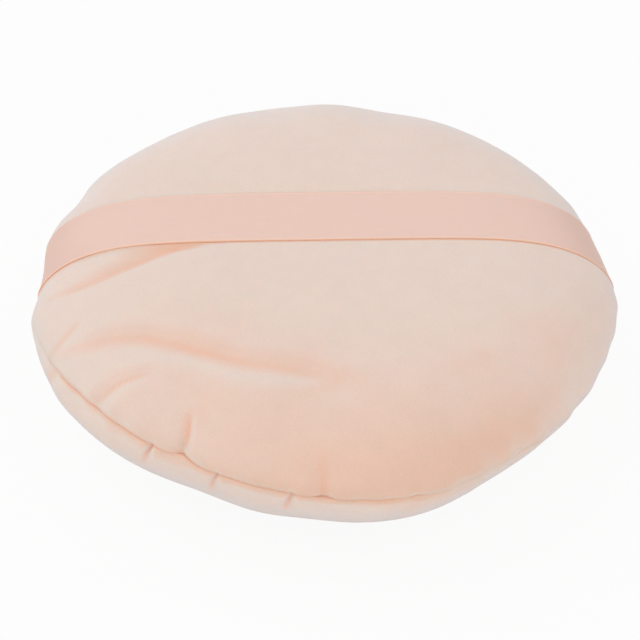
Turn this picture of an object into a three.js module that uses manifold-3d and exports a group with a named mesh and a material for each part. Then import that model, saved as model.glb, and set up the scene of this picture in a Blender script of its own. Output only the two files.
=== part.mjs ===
// A round velour powder puff with a satin ribbon across its top, which the fingers slip under.
// Two velour panels are sewn face to face, turned right side out, filled and closed by hand, so that their
// seam lies drawn in between two soft lobes, with its raw edges turned inside.
// Millimetres, +Z up. The origin is the middle of the resting face, and the ribbon runs along X.

import * as THREE from "three";
import { mergeVertices } from "three/addons/utils/BufferGeometryUtils.js";
import Module from "manifold-3d";

const wasm = await Module();
wasm.setup();

// Driving dimensions of the cover
const PAD_DIAMETER = 100; // across the widest line of the lobes
const TOP_CROWN = 10.2; // from the widest line of the upper lobe to its top
const BOTTOM_CROWN = 14; // from the widest line of the lower lobe to the resting face
const REST_DIAMETER = 50; // flat face under the puff
const TOP_FLATNESS = 5.5; // superellipse powers of each lobe: flat in its middle, round at its shoulder
const TOP_SHOULDER = 1.3;
const BOTTOM_FLATNESS = 2.2;
const BOTTOM_SHOULDER = 1.7;
const CLOTH = 1.5; // velour, backing and pile together
const SEAM_INSET = 2.2; // how far the seam is drawn in from the widest line
const SEAM_ALLOWANCE = 5; // raw edge that is turned inside
const LOBE_ROUND = 0.75; // height of the roll between the layers of the seam and the widest line

// Driving dimensions of the gathers that the tight seam draws into both panels
const PUCKERS = 20;
const PUCKER_DEPTH = 0.9;
const PUCKER_REACH = 16; // length of a gather from the seam
const PUCKER_VARIES = 0.3; // share by which their depths differ
const PUCKER_SWINGS = 5; // groups of deep and shallow gathers round the seam

// Driving dimensions of the ribbon
const RIBBON_WIDTH = 13;
const RIBBON_THICKNESS = 0.35;
const RIBBON_SLACK = 0.1; // how loosely it lies on the pile
const RIBBON_BACK = 6; // its middle line, behind the middle of the pad

// Driving dimensions of the sewing
const THREAD = 0.4; // diameter
const STITCH_INSET = 1.2; // machine stitches, in from the fold of the seam
const TURNING_GAP = 40; // stretch of the seam at the back that is sewn by hand once the puff is filled
const LADDER_PITCH = 4; // one hand stitch to the next
const LADDER_SWING = 0.25; // how far a hand stitch crosses to either side of the seam plane
const LADDER_DEPTH = 1.2; // how far out from the fold it lies in the groove
const TACK_LENGTH = 9; // zigzag that holds each end of the ribbon
const TACK_WIDTH = 1.2;
const TACK_PITCH = 1.5;
const TACK_INSET = 3.8; // in from the fold of the seam

// Room between pieces that touch on the real puff
const CLEARANCE = 0.3;

// Fineness of the faceted surfaces
const COLUMNS_PER_PUCKER = 3;
const CROWN_STEPS = 6;
const OUTER_ROLL_STEPS = 3;
const INNER_ROLL_STEPS = 1;
const THREAD_SIDES = 6;
const SEAM_THREAD_STEPS = 60;
const STEPS_PER_STITCH = 6;

// Radii and levels that follow from those sizes. Levels are measured from the plane of the seam.
const padRadius = PAD_DIAMETER / 2;
const foldRadius = padRadius - SEAM_INSET;
const rawEdgeRadius = foldRadius - SEAM_ALLOWANCE;
const clothUnderside = CLEARANCE / 2;
const clothInside = clothUnderside + CLOTH;
const threadLevel = clothInside + CLEARANCE + THREAD / 2;
const stackHeight = threadLevel + THREAD / 2 + CLEARANCE;
const widestLevel = stackHeight + LOBE_ROUND;
const topHeight = widestLevel + TOP_CROWN;
const bottomDepth = widestLevel + BOTTOM_CROWN;
const columns = PUCKERS * COLUMNS_PER_PUCKER;

const upperLobe = { height: topHeight, flat: 0, across: TOP_FLATNESS, down: TOP_SHOULDER };
const lowerLobe = {
  height: bottomDepth,
  flat: REST_DIAMETER / 2,
  across: BOTTOM_FLATNESS,
  down: BOTTOM_SHOULDER,
};

// Outline of one lobe as [radius, level] points, from its middle over the shoulder and the widest line to
// the fold of the seam. An inset draws it in, as for the inner face of the cloth.
function lobeOutline(lobe, inset, foldLevel, rollSteps) {
  const points = [[0, lobe.height - inset]];
  if (lobe.flat > 0) points.push([lobe.flat, lobe.height - inset]);
  const run = padRadius - inset - lobe.flat;
  const rise = lobe.height - inset - widestLevel;
  for (let i = 1; i <= CROWN_STEPS; i++) {
    const turn = (i / CROWN_STEPS) * (Math.PI / 2);
    const across = Math.sin(turn) ** (2 / lobe.across);
    const down = i < CROWN_STEPS ? Math.cos(turn) ** (2 / lobe.down) : 0;
    points.push([lobe.flat + run * across, widestLevel + rise * down]);
  }
  const draw = padRadius - inset - foldRadius;
  const drop = widestLevel - foldLevel;
  for (let i = 1; i <= rollSteps; i++) {
    const turn = (i / rollSteps) * (Math.PI / 2);
    const out = i < rollSteps ? Math.cos(turn) : 0;
    points.push([foldRadius + draw * out, widestLevel - drop * Math.sin(turn)]);
  }
  return points;
}

// Solid of revolution about Z, from [radius, level] points that run down and round from the axis.
function revolve(profile, count) {
  const points = profile.map(([radius, level]) => new THREE.Vector2(radius, level)).reverse();
  return new THREE.LatheGeometry(points, count).rotateX(Math.PI / 2);
}

// A line pushed aside by a distance to the left of its direction, with mitred corners.
function besideLine(points, distance) {
  return points.map(([x, y], i) => {
    const [ax, ay] = points[Math.max(i - 1, 0)];
    const [bx, by] = points[Math.min(i + 1, points.length - 1)];
    const before = new THREE.Vector2(x - ax, y - ay).normalize();
    const after = new THREE.Vector2(bx - x, by - y).normalize();
    const along = before.clone().add(after).normalize();
    const straight = i > 0 ? before : after;
    const mitre = distance / Math.max(along.dot(straight), 0.5);
    return [x - along.y * mitre, y + along.x * mitre];
  });
}

// A closed geometry as a solid that can be cut.
function solidOf(geometry) {
  const bare = geometry.clone();
  bare.deleteAttribute("normal");
  bare.deleteAttribute("uv");
  const merged = mergeVertices(bare, 1e-3);
  const vertProperties = merged.attributes.position.array;
  const triVerts = new Uint32Array(merged.index.array);
  return new wasm.Manifold(new wasm.Mesh({ numProp: 3, vertProperties, triVerts }));
}

// One geometry less another.
function cutAway(geometry, tool) {
  const left = solidOf(geometry).subtract(solidOf(tool)).getMesh();
  const cut = new THREE.BufferGeometry();
  cut.setAttribute("position", new THREE.BufferAttribute(left.vertProperties, 3));
  cut.setIndex(new THREE.BufferAttribute(left.triVerts, 1));
  cut.computeVertexNormals();
  return cut;
}

// Sinks the gathers into the outer face of a panel. They start at the fold of the seam, run up the lobe and
// die out, and the columns under the ribbon are left between them.
function sinkGathers(geometry, outline) {
  const spots = geometry.attributes.position;
  const [foldX, foldY] = outline[outline.length - 1];
  for (let i = 0; i < spots.count; i++) {
    const radius = Math.hypot(spots.getX(i), spots.getY(i));
    const level = spots.getZ(i);
    const k = outline.findIndex(([x, y]) => Math.hypot(x - radius, y - level) < 1e-3);
    const reach = Math.hypot(foldX - radius, foldY - level) / PUCKER_REACH;
    if (k < 1 || k > outline.length - 2 || reach > 1) continue;
    const turn = Math.atan2(spots.getX(i), -spots.getY(i));
    const valley = Math.max(0, Math.cos(PUCKERS * turn - (2 * Math.PI) / COLUMNS_PER_PUCKER));
    const depth = PUCKER_DEPTH * valley * (1 - PUCKER_VARIES * Math.sin(PUCKER_SWINGS * turn));
    const sink = depth * Math.sin(Math.PI * reach);
    const along = new THREE.Vector2(
      outline[k + 1][0] - outline[k - 1][0],
      outline[k + 1][1] - outline[k - 1][1],
    ).normalize();
    const drawn = (radius + along.y * sink) / radius;
    spots.setXYZ(i, spots.getX(i) * drawn, spots.getY(i) * drawn, level - along.x * sink);
  }
  return geometry;
}

// A band over the upper lobe and round into the seam at both sides: its side view, of the given thickness,
// pulled out to its width.
function band(width, thickness, tail) {
  const lift = CLEARANCE + RIBBON_SLACK + RIBBON_THICKNESS / 2;
  const right = lobeOutline(upperLobe, -lift, 0, OUTER_ROLL_STEPS);
  right.push([rawEdgeRadius - tail, 0]);
  const left = right.slice(1).map(([x, level]) => [-x, level]);
  const line = [...left.reverse(), ...right];
  const outer = besideLine(line, thickness / 2);
  const inner = besideLine(line, -thickness / 2).reverse();
  const section = new THREE.Shape([...outer, ...inner].map(([x, level]) => new THREE.Vector2(x, level)));
  const geometry = new THREE.ExtrudeGeometry(section, { depth: width, bevelEnabled: false });
  return geometry.translate(0, 0, -width / 2 - RIBBON_BACK).rotateX(Math.PI / 2);
}

// A run of thread along a path given by its point at each share of its length.
class Run extends THREE.Curve {
  constructor(pointAt) {
    super();
    this.pointAt = pointAt;
  }

  getPoint(share) {
    return this.pointAt(share);
  }
}

function threadAlong(pointAt, steps) {
  const ring = [];
  for (let i = 0; i < THREAD_SIDES; i++) {
    const turn = (i / THREAD_SIDES) * 2 * Math.PI;
    ring.push(new THREE.Vector2(Math.cos(turn), Math.sin(turn)).multiplyScalar(THREAD / 2));
  }
  return new THREE.ExtrudeGeometry(new THREE.Shape(ring), { steps, extrudePath: new Run(pointAt) });
}

// Point on a level circle, at an angle from the back of the puff.
function onCircle(radius, angle, level) {
  return new THREE.Vector3(radius * Math.sin(angle), radius * Math.cos(angle), level);
}

// One velour panel: its lobe, the roll into the seam and the raw edge turned inside.
function velourPanel(lobe) {
  const outer = lobeOutline(lobe, 0, clothUnderside, OUTER_ROLL_STEPS);
  const inner = lobeOutline(lobe, CLOTH, clothInside, INNER_ROLL_STEPS);
  const rawEdge = [
    [rawEdgeRadius, clothUnderside],
    [rawEdgeRadius, clothInside],
  ];
  return sinkGathers(revolve([...outer, ...rawEdge, ...inner.reverse()], columns), outer);
}

// Room at both sides for the ends of the ribbon, which are caught between the two raw edges.
function ribbonRoom() {
  return band(RIBBON_WIDTH + 2 * CLEARANCE, RIBBON_THICKNESS + 2 * CLEARANCE, CLEARANCE);
}

// The fibre filling, moulded by the cover, with a slot all round its waist for the layers of the seam.
function fibreFilling() {
  const inset = CLOTH + CLEARANCE;
  const above = lobeOutline(upperLobe, inset, stackHeight, INNER_ROLL_STEPS);
  const below = lobeOutline(lowerLobe, inset, stackHeight, INNER_ROLL_STEPS);
  const slotRadius = rawEdgeRadius - CLEARANCE;
  const profile = [
    ...above,
    [slotRadius, stackHeight],
    [slotRadius, -stackHeight],
    ...below.map(([radius, level]) => [radius, -level]).reverse(),
  ];
  return revolve(profile, Math.ceil(columns / 2));
}

// One of the two threads of the machine seam, which leaves the turning gap open at the back.
function seamThread(level) {
  const radius = foldRadius - STITCH_INSET;
  const open = TURNING_GAP / 2 / radius;
  const sweep = 2 * Math.PI - 2 * open;
  return threadAlong((share) => onCircle(radius, open + sweep * share, level), SEAM_THREAD_STEPS);
}

// The hand stitches that close the turning gap, crossing from fold to fold in the groove of the seam.
function ladderThread() {
  const radius = foldRadius + LADDER_DEPTH;
  const open = TURNING_GAP / 2 / radius;
  const stitches = Math.round(TURNING_GAP / LADDER_PITCH);
  const pointAt = (share) => {
    const swing = LADDER_SWING * Math.sin(2 * Math.PI * stitches * share);
    return onCircle(radius, open * (2 * share - 1), swing);
  };
  return threadAlong(pointAt, stitches * STEPS_PER_STITCH);
}

// The zigzag that holds one end of the ribbon to the raw edges, at the side given by its sign.
function ribbonTack(side) {
  const swings = Math.round(TACK_LENGTH / TACK_PITCH);
  const pointAt = (share) => {
    const swing = (TACK_WIDTH / 2) * Math.sin(2 * Math.PI * swings * share);
    const across = side * (foldRadius - TACK_INSET + swing);
    return new THREE.Vector3(across, RIBBON_BACK + TACK_LENGTH * (share - 0.5), threadLevel);
  };
  return threadAlong(pointAt, swings * STEPS_PER_STITCH);
}

// Assembly, with the plane of the seam raised over the resting face
const puff = new THREE.Group();
puff.name = "powder_puff";

function place(name, geometry, color, roughness) {
  const material = new THREE.MeshStandardMaterial({ color, roughness, metalness: 0 });
  const mesh = new THREE.Mesh(geometry.translate(0, 0, bottomDepth), material);
  mesh.name = name;
  puff.add(mesh);
}

place("top_panel", cutAway(velourPanel(upperLobe), ribbonRoom()), 0xeed5c7, 0.95);
place("bottom_panel", cutAway(velourPanel(lowerLobe).rotateX(Math.PI), ribbonRoom()), 0xeed5c7, 0.95);
place("filling", fibreFilling(), 0xf6f3ee, 1);
place("ribbon", band(RIBBON_WIDTH, RIBBON_THICKNESS, 0), 0xecc8b9, 0.45);
place("needle_thread", seamThread(threadLevel), 0xe8c6b4, 0.8);
place("bobbin_thread", seamThread(-threadLevel), 0xe8c6b4, 0.8);
place("closing_thread", ladderThread(), 0xe8c6b4, 0.8);
place("ribbon_tack_left", ribbonTack(-1), 0xe8c6b4, 0.8);
place("ribbon_tack_right", ribbonTack(1), 0xe8c6b4, 0.8);

export default puff;
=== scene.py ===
import math

import bpy
import numpy as np
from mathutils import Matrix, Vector


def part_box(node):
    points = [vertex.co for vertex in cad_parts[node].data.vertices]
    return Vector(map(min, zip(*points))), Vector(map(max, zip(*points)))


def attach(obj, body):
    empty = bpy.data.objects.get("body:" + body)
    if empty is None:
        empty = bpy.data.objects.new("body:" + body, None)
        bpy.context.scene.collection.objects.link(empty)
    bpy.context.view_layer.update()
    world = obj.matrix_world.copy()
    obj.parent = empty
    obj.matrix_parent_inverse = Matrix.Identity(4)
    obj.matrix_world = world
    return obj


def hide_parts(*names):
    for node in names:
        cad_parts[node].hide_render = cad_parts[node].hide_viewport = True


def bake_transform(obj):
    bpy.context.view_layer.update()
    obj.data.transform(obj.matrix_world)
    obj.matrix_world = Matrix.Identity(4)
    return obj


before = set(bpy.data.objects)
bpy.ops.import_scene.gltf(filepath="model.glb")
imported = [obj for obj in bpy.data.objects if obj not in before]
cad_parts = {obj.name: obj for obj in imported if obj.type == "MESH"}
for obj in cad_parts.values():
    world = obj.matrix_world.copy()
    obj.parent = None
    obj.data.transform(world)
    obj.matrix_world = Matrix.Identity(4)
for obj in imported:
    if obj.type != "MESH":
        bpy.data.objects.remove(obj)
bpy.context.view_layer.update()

# Viewpoint
# A long lens about 40 cm away looks down on the puff from the front at 42 degrees, turned a little to the
# left, with the puff a little above the middle of the picture.
mm = 0.001
view_distance = 400 * mm
view_height_angle = math.radians(42)
view_side_angle = math.radians(-1.34)
aim_below = 4.35 * mm
aim_left = 0.42 * mm
focal_length = 128.8
sensor_width = 36.0

seam_plane = 0.5 * (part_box("closing_thread")[0].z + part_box("closing_thread")[1].z)
widest_above_seam = 0.6 * mm
widest_level = seam_plane + widest_above_seam

towards_camera = Vector((
    math.sin(view_side_angle) * math.cos(view_height_angle),
    -math.cos(view_side_angle) * math.cos(view_height_angle),
    math.sin(view_height_angle),
))
puff_middle = Vector((0, 0, widest_level))
view_right = Vector((0, 0, 1)).cross(towards_camera).normalized()
view_up = towards_camera.cross(view_right).normalized()
aim_point = puff_middle - aim_below * view_up - aim_left * view_right


def add_object(name, data):
    added = bpy.data.objects.new(name, data)
    bpy.context.scene.collection.objects.link(added)
    return added


camera_data = bpy.data.cameras.new("camera")
camera_data.lens = focal_length
camera_data.sensor_width = sensor_width
camera_data.clip_start = 10 * mm
camera = add_object("camera", camera_data)
camera.location = puff_middle + view_distance * towards_camera
camera.rotation_euler = (camera.location - aim_point).to_track_quat("Z", "Y").to_euler()
bpy.context.scene.camera = camera

# Studio
# A white sweep under soft light from all round, with a broad lamp high on the left and a weak fill in front.
# The sweep shows as white, and a share of it stays lit cloth so that the puff's shadow is kept.
sweep_size = 6.0
sweep_below = 0.3 * mm
sweep_white = (0.82, 0.82, 0.82, 1)
sweep_glow_share = 0.92
plain_white = (1, 1, 1, 1)
sky_strength = 0.785
key_power, key_size, key_place = 3.7, 0.9, Vector((-0.75, 0.35, 1.05))
fill_power, fill_size, fill_place = 2.2, 0.7, Vector((0.15, -1.1, 0.30))


def add_lamp(name, power, size, place):
    lamp = bpy.data.lights.new(name, "AREA")
    lamp.energy = power
    lamp.size = size
    holder = add_object(name, lamp)
    holder.location = place
    holder.rotation_euler = (place - puff_middle).to_track_quat("Z", "Y").to_euler()


def fill_inputs(tree, node, inputs):
    """Sets or links a node's inputs, each given by name or by place. A node is linked by its first output."""
    for place, value in inputs.items():
        if isinstance(value, bpy.types.Node):
            value = value.outputs[0]
        if isinstance(value, bpy.types.NodeSocket):
            tree.links.new(value, node.inputs[place])
        else:
            node.inputs[place].default_value = value


def add_node(tree, kind, inputs=None, **settings):
    node = tree.nodes.new(kind)
    for name, value in settings.items():
        setattr(node, name, value)
    fill_inputs(tree, node, inputs or {})
    return node


def reckon(tree, way, first, second, clamp=False):
    """A sum, product or other reckoning of two values."""
    return add_node(tree, "ShaderNodeMath", {0: first, 1: second}, operation=way, use_clamp=clamp)


def start_material(name):
    material = bpy.data.materials.new(name)
    material.use_nodes = True
    tree = material.node_tree
    return material, tree, tree.nodes["Principled BSDF"]


def show_white(tree, lit, white, output, share):
    """Shows white to the camera, in gloss and through clear bodies, by a share, and elsewhere what is lit."""
    path = add_node(tree, "ShaderNodeLightPath").outputs
    seen = reckon(tree, "MAXIMUM", path["Is Camera Ray"], path["Is Glossy Ray"])
    seen = reckon(tree, "MAXIMUM", seen, path["Is Transmission Ray"])
    factor = reckon(tree, "MULTIPLY", seen, share)
    mix = add_node(tree, "ShaderNodeMixShader", {0: factor, 1: lit, 2: white})
    fill_inputs(tree, output, {"Surface": mix})


bpy.ops.mesh.primitive_plane_add(size=sweep_size, location=(0, 0, -sweep_below))
sweep = bpy.context.object
sweep.name = "white_sweep"
sweep_paper, paper_tree, paper_shader = start_material("sweep_paper")
paper_finish = {"Base Color": sweep_white, "Roughness": 1.0, "Specular IOR Level": 0.0}
fill_inputs(paper_tree, paper_shader, paper_finish)
paper_glow = add_node(paper_tree, "ShaderNodeEmission")
show_white(paper_tree, paper_shader, paper_glow, paper_tree.nodes["Material Output"], sweep_glow_share)
sweep.data.materials.append(sweep_paper)

sky = bpy.data.worlds.new("studio")
sky.use_nodes = True
sky_tree = sky.node_tree
soft_light = sky_tree.nodes["Background"]
fill_inputs(sky_tree, soft_light, {"Color": plain_white, "Strength": sky_strength})
seen_white = add_node(sky_tree, "ShaderNodeBackground", {"Color": plain_white})
show_white(sky_tree, soft_light, seen_white, sky_tree.nodes["World Output"], 1.0)
bpy.context.scene.world = sky

add_lamp("key_lamp", key_power, key_size, key_place)
add_lamp("fill_lamp", fill_power, fill_size, fill_place)
bpy.context.scene.view_settings.view_transform = "Standard"

# Velour panels
# Two equal discs of velour, a knitted backing with a short dense pile, are sewn face to face, turned right
# side out and filled. Each swells to its own lobe, and its edge rolls into the seam, its raw edge inside.
cloth_thickness = 1.2 * mm
fold_thickness_share = 0.4
pad_radius = 0.5 * (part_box("bottom_panel")[1].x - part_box("bottom_panel")[0].x)
crown_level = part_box("top_panel")[1].z
rest_radius, flat_at_rest = 25 * mm, 3 * mm
widest_wall = 1.4 * mm
top_flatness, top_shoulder = 5.5, 1.49
low_flatness, low_shoulder = 2.2, 1.3

# The tables below are in millimetres, and in degrees anticlockwise from the right, seen from above.
# Waves round the rim that draw it out of true: count, size and the bearing of a crest.
rim_waves = (
    (2, 0.70, -16.5),
    (3, 0.18, 43.9),
    (4, 0.49, 13.75),
    (5, 0.34, -7.9),
    (6, 0.15, 38.6),
)

# Stretches where the ribbon's pull draws the rim in, and the pad swells out beside it: size, middle and half
# width.
rim_pulls = (
    (-1.5, 176, 14),
    (-0.4, 197, 10),
    (-0.9, 10, 14),
    (-0.2, 2, 7),
    (0.4, -8, 12),
    (0.5, 320, 22),
    (-0.8, 130, 20),
    (-0.6, 153, 8),
    (0.5, 291, 14),
    (0.35, 228, 18),
)

# Stretches where the seam rides up or down between the lobes: its rise, the middle and the half width.
seam_drifts = (
    (1.95, 240, 85),
    (2.2, 213, 40),
    (0.6, 240, 4),
    (-1.2, 340, 50),
)

# How deep the seam is drawn in: everywhere, and more on two stretches, given by their middle, half width and
# soft ends in degrees.
seam_gap = 0.012 * mm
seam_allowance = 5 * mm
top_roll = 1.3 * mm
low_roll = 1.0 * mm
shallow_groove = 0.1 * mm
front_groove, front_groove_stretch = 0.30 * mm, (245, 36, 12)
back_groove, back_groove_stretch = 0.9 * mm, (90, 70, 15)

# Gathers that the seam draws into each panel: bearing, depth, half width and length from the seam.
top_tucks = (
    (219, 0.2, 0.9, 4),
    (240, 0.45, 0.6, 8),
    (241, 0.3, 2.0, 13),
    (269, 0.7, 1.2, 9),
    (286, 0.4, 1.1, 4.5),
    (309, 0.20, 2.2, 8),
    (318, 0.20, 2.0, 7),
    (327, 0.18, 2.0, 8),
    (-2, 0.3, 1.2, 4),
    (31, 0.45, 1.4, 6),
    (55, 0.50, 2.2, 9),
    (77, 0.35, 1.2, 5),
    (101, 0.40, 2.0, 8),
    (119, 0.55, 1.6, 9),
    (143, 0.40, 1.3, 6),
    (156, 0.35, 1.8, 7),
)
low_tucks = (
    (205, 0.5, 1.5, 8),
    (233.5, 1.0, 0.45, 5.5),
    (237.5, 0.25, 1.6, 2.5),
    (248, 0.9, 0.45, 5),
    (263, 1.0, 0.5, 5),
    (286, 0.25, 1.6, 7),
    (309, 0.30, 2.2, 8),
    (318, 0.30, 2.0, 7),
    (327, 0.25, 2.0, 8),
    (17, 0.45, 1.2, 7),
    (39, 0.40, 1.6, 8),
    (66, 0.50, 1.1, 6),
    (84, 0.35, 1.5, 8),
    (113, 0.45, 1.3, 7),
    (131, 0.40, 1.6, 8),
    (160, 0.50, 1.2, 6),
    (182, 0.40, 1.5, 8),
)
low_tuck_lean = 0.3
top_tucks_at_seam, low_tucks_at_seam = 1.0, 0.4

# A gather widens away from the seam, and the cloth beside it is heaped into shoulders: their height, place
# and width are shares of its depth and half width. Its painted shade is the fuller the deeper it is.
tuck_widening = 0.9
tuck_shoulders = (0.2, 2.4, 1.3)
tuck_shade_width, tuck_full_shade = 0.7, 1.0

# Creases that handling has pressed into the top: depth, width of the far wall, width of the near wall and the
# line that each follows in plan.
creases = (
    (0.34, 1.6, 2.8, (
        (-44.5, -19.6), (-38.3, -21.2), (-31.2, -22.2), (-24.7, -24.5),
        (-18.2, -27.2), (-12.0, -29.7), (-4.4, -31.7), (2.0, -33.7))),
    (0.6, 2.2, 1.5, (
        (-46.5, -7.2), (-40.6, -7.8), (-33.5, -5.5), (-26.5, -2.1), (-21.6, -0.8), (-15.0, 1.5))),
    (0.28, 1.4, 1.6, ((-47.0, -18.6), (-43.5, -17.4), (-40.6, -15.6))),
    (0.30, 0.9, 1.2, ((-37.6, -30.9), (-36.0, -30.2), (-32.6, -29.6), (-28.5, -29.4))),
    (0.4, 1.5, 0.9, ((-23.4, -40.9), (-23.0, -40.3), (-22.6, -39.4), (-22.4, -38.1), (-22.3, -36.5))),
)
crease_end, crease_end_softness = 0.02, 0.45
crease_shoulders = (0.22, 2.2, 1.1)
# Painted shade along each crease: its strength, its width in wall widths and the depth that gives it in full.
crease_shade_strength, crease_shade_width, crease_full_shade = 0.85, 0.55, 0.4

# Painted shade, deeper and warmer, lies along the seam, and the top swells out over it at the front left.
top_seam_shade_width, low_seam_shade_width, seam_shade = 0.8 * mm, 0.6 * mm, 0.55
seam_core_width, seam_core_shade = 0.3 * mm, 1.0
front_swell, front_swell_place, front_swell_width = 0.5 * mm, 6 * mm, 5 * mm
front_swell_stretch = (222, 30)

# Fine scallops along the stitches and slow swells of the filling: height, count round the rim, reach from the
# seam, and a drift, by size, count and start, that keeps their spacing uneven.
scallop_height, scallop_count, scallop_reach, scallop_drift = 0.10 * mm, 47, 3.5 * mm, (1.7, 5, 0.0)
swell_height, swell_count, swell_reach, swell_drift = 0.22 * mm, 9, 12 * mm, (1.3, 4, 0.6)

# The ribbon lies in the pile: nothing swells under it. The pile, stroked to the front, parts along its front
# edge and lies over its back edge, and the seam opens a little where its ends go in.
ribbon_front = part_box("ribbon")[0].y
ribbon_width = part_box("ribbon")[1].y - ribbon_front
ribbon_middle = ribbon_front + 0.5 * ribbon_width
ribbon_edge = 1.0 * mm
ribbon_room, ribbon_room_end = 0.22 * mm, 1.5
ribbon_bed, deepest_bed = 0.06 * mm, 0.12 * mm
pile_bank, bank_place, bank_width = 0.14 * mm, 0.5 * mm, 0.5 * mm
pile_overlap, overlap_width = 0.2 * mm, 0.6 * mm
# Painted shade on the pile along the ribbon's front edge, wider near the seam: its width, strength, widening
# and reach.
edge_shade_width, edge_shade = 0.5 * mm, 1.0
end_widening, ribbon_end = 2.5, 5 * mm
ribbon_bearing = math.degrees(math.asin(ribbon_middle / pad_radius))
ribbon_spread = math.degrees(0.5 * ribbon_width / pad_radius)

# The pile's sheen: cloth seen straight on shows the deep sides of the fibres, and cloth seen aslant their
# pale tips. A part is painted sheen, fixed as seen from the camera's direction; the rest follows the eye.
sheen_view_bearing = math.radians(-91.3)
sheen_view_rise = math.radians(42)
deep_below_slant, pale_above_slant = 0.10, 0.36
sheen_share = 0.35

# Patches of painted sheen, paler where the share is above 0 and deeper where below: how much, the bearing and
# half width of each in degrees, its distance from the seam and its half reach.
sheen_patches = (
    (0.70, 228, 32, 5.5, 12.5),
    (0.42, 270, 26, 16.5, 6.5),
    (-0.58, 311, 20, 1.7, 7),
    (0.55, 319, 30, 12, 12.5),
    (-0.50, 339, 13, 10, 7.5),
)
# Painted sheen on the bottom near the seam, paler on one stretch and deeper elsewhere, and painted shade that
# deepens the top along the seam on one stretch.
low_sheen, low_sheen_stretch = 0.3, (233, 39, 15)
low_sheen_elsewhere = -0.35
low_sheen_reach = 12 * mm
seam_sheen_deepening, seam_deepening_reach, seam_deepening_stretch = -0.4, 1.6 * mm, (252, 54, 18)

# Fineness of the meshes: a square grid in the middle, then rings to the roll, round the roll and on the part
# turned in. The columns crowd together at the narrow gathers.
section_steps, crown_crowding, even_steps = 600, 2.75, 1600
grid_side, grid_reach = 128, 0.62
crown_rings, roll_rings, turned_rings = 24, 9, 5
ring_crowding = 0.35
narrow_tuck, tuck_crowding, crowding_width, crowding_from = 0.7, 3.0, 2.2, 0.6
bearing_steps = 3601
outer_rings = crown_rings + roll_rings + turned_rings
ring_at_roll = grid_reach + crown_rings * (1 - grid_reach) / outer_rings
ring_at_fold = ring_at_roll + roll_rings * (1 - grid_reach) / outer_rings
ring_tolerance = 1e-6


def stuffed_section():
    """Share of the rim's radius, level and arc length, from the crown to the middle of the resting face."""
    sweep_turn = 0.5 * math.pi * np.linspace(0, 1, section_steps) ** crown_crowding
    rise = crown_level - widest_level - 0.5 * widest_wall
    upper_share = np.sin(sweep_turn) ** (2 / top_flatness)
    upper_rise = rise * np.clip(np.cos(sweep_turn), 0, 1) ** (2 / top_shoulder)
    upper_level = widest_level + 0.5 * widest_wall + upper_rise
    drop = widest_level - 0.5 * widest_wall
    low_turn = 0.5 * math.pi * np.linspace(1, 0, section_steps)
    rest_share = rest_radius / pad_radius
    lower_share = rest_share + (1 - rest_share) * np.sin(low_turn) ** (2 / low_flatness)
    lower_level = drop * (1 - np.clip(np.cos(low_turn), 0, 1) ** (2 / low_shoulder))
    share = np.concatenate([upper_share, lower_share, [0.0]])
    level = np.concatenate([upper_level, lower_level, [0.0]])
    arc = np.concatenate([[0], np.cumsum(np.hypot(np.diff(share) * pad_radius, np.diff(level)))])
    return share, level, arc


section_share, section_level, section_arc = stuffed_section()
even_arc = np.linspace(0, section_arc[-1], even_steps)
even_share = np.interp(even_arc, section_arc, section_share)
even_level = np.interp(even_arc, section_arc, section_level)
slope_across = np.gradient(even_share * pad_radius, even_arc)
slope_down = np.gradient(even_level, even_arc)


def plan_radius(turn):
    """Radius of the rim at an angle in radians."""
    waves = sum(size * np.cos(count * (turn - math.radians(crest))) for count, size, crest in rim_waves)
    pulls = sum(size * hump(turn, middle, half_width) for size, middle, half_width in rim_pulls)
    return pad_radius + mm * (waves + pulls)


def apart(turn, degrees):
    """Angle between a direction and a bearing in degrees, the short way round, in radians."""
    return (turn - math.radians(degrees) + math.pi) % (2 * math.pi) - math.pi


def hump(turn, middle, half_width):
    """1 at a bearing, falling smoothly to 0 at its half width; both in degrees."""
    share = np.clip(np.abs(apart(turn, middle)) / math.radians(half_width), 0, 1)
    return np.cos(0.5 * math.pi * share) ** 2


def bell(away, width):
    """1 in the middle, falling smoothly away, to a third at the width."""
    return np.exp(-(away / width) ** 2)


def ease(share):
    """A share from 0 to 1, with soft ends."""
    share = np.clip(share, 0, 1)
    return share * share * (3 - 2 * share)


def plateau(turn, middle, half_width, soft_end):
    """1 over a stretch round a bearing, falling smoothly to 0 past its ends; all in degrees."""
    past = np.abs(apart(turn, middle)) - math.radians(half_width)
    return ease(1 - past / math.radians(soft_end))


def groove_depth(turn):
    """How far the seam is drawn in at an angle."""
    front = (front_groove - shallow_groove) * plateau(turn, *front_groove_stretch)
    back = (back_groove - shallow_groove) * plateau(turn, *back_groove_stretch)
    return shallow_groove + front + back


def gap_at(turn):
    """Room between the two panels at the seam."""
    right = plateau(turn, ribbon_bearing, ribbon_spread, ribbon_room_end)
    left = plateau(turn, 180 - ribbon_bearing, ribbon_spread, ribbon_room_end)
    return seam_gap + ribbon_room * (right + left)


def seam_level(turn):
    return widest_level + mm * sum(rise * hump(turn, middle, width) for rise, middle, width in seam_drifts)


def seam_arc(turn):
    """Distance of the seam from the crown, along the stuffed section."""
    falling = slice(0, int(np.argmin(section_level)) + 1)
    return np.interp(-seam_level(turn), -section_level[falling], section_arc[falling])


def from_polar(radius, turn, level):
    return np.stack([radius * np.cos(turn), radius * np.sin(turn), level], axis=-1)


def on_form(arc, turn):
    """Radius and level on the stuffed form, and its outward normal as parts across and up."""
    radius = np.interp(arc, even_arc, even_share) * plan_radius(turn)
    level = np.interp(arc, even_arc, even_level)
    across = -np.interp(arc, even_arc, slope_down)
    up = np.interp(arc, even_arc, slope_across)
    size = np.hypot(across, up)
    return radius, level, across / size, up / size


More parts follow.
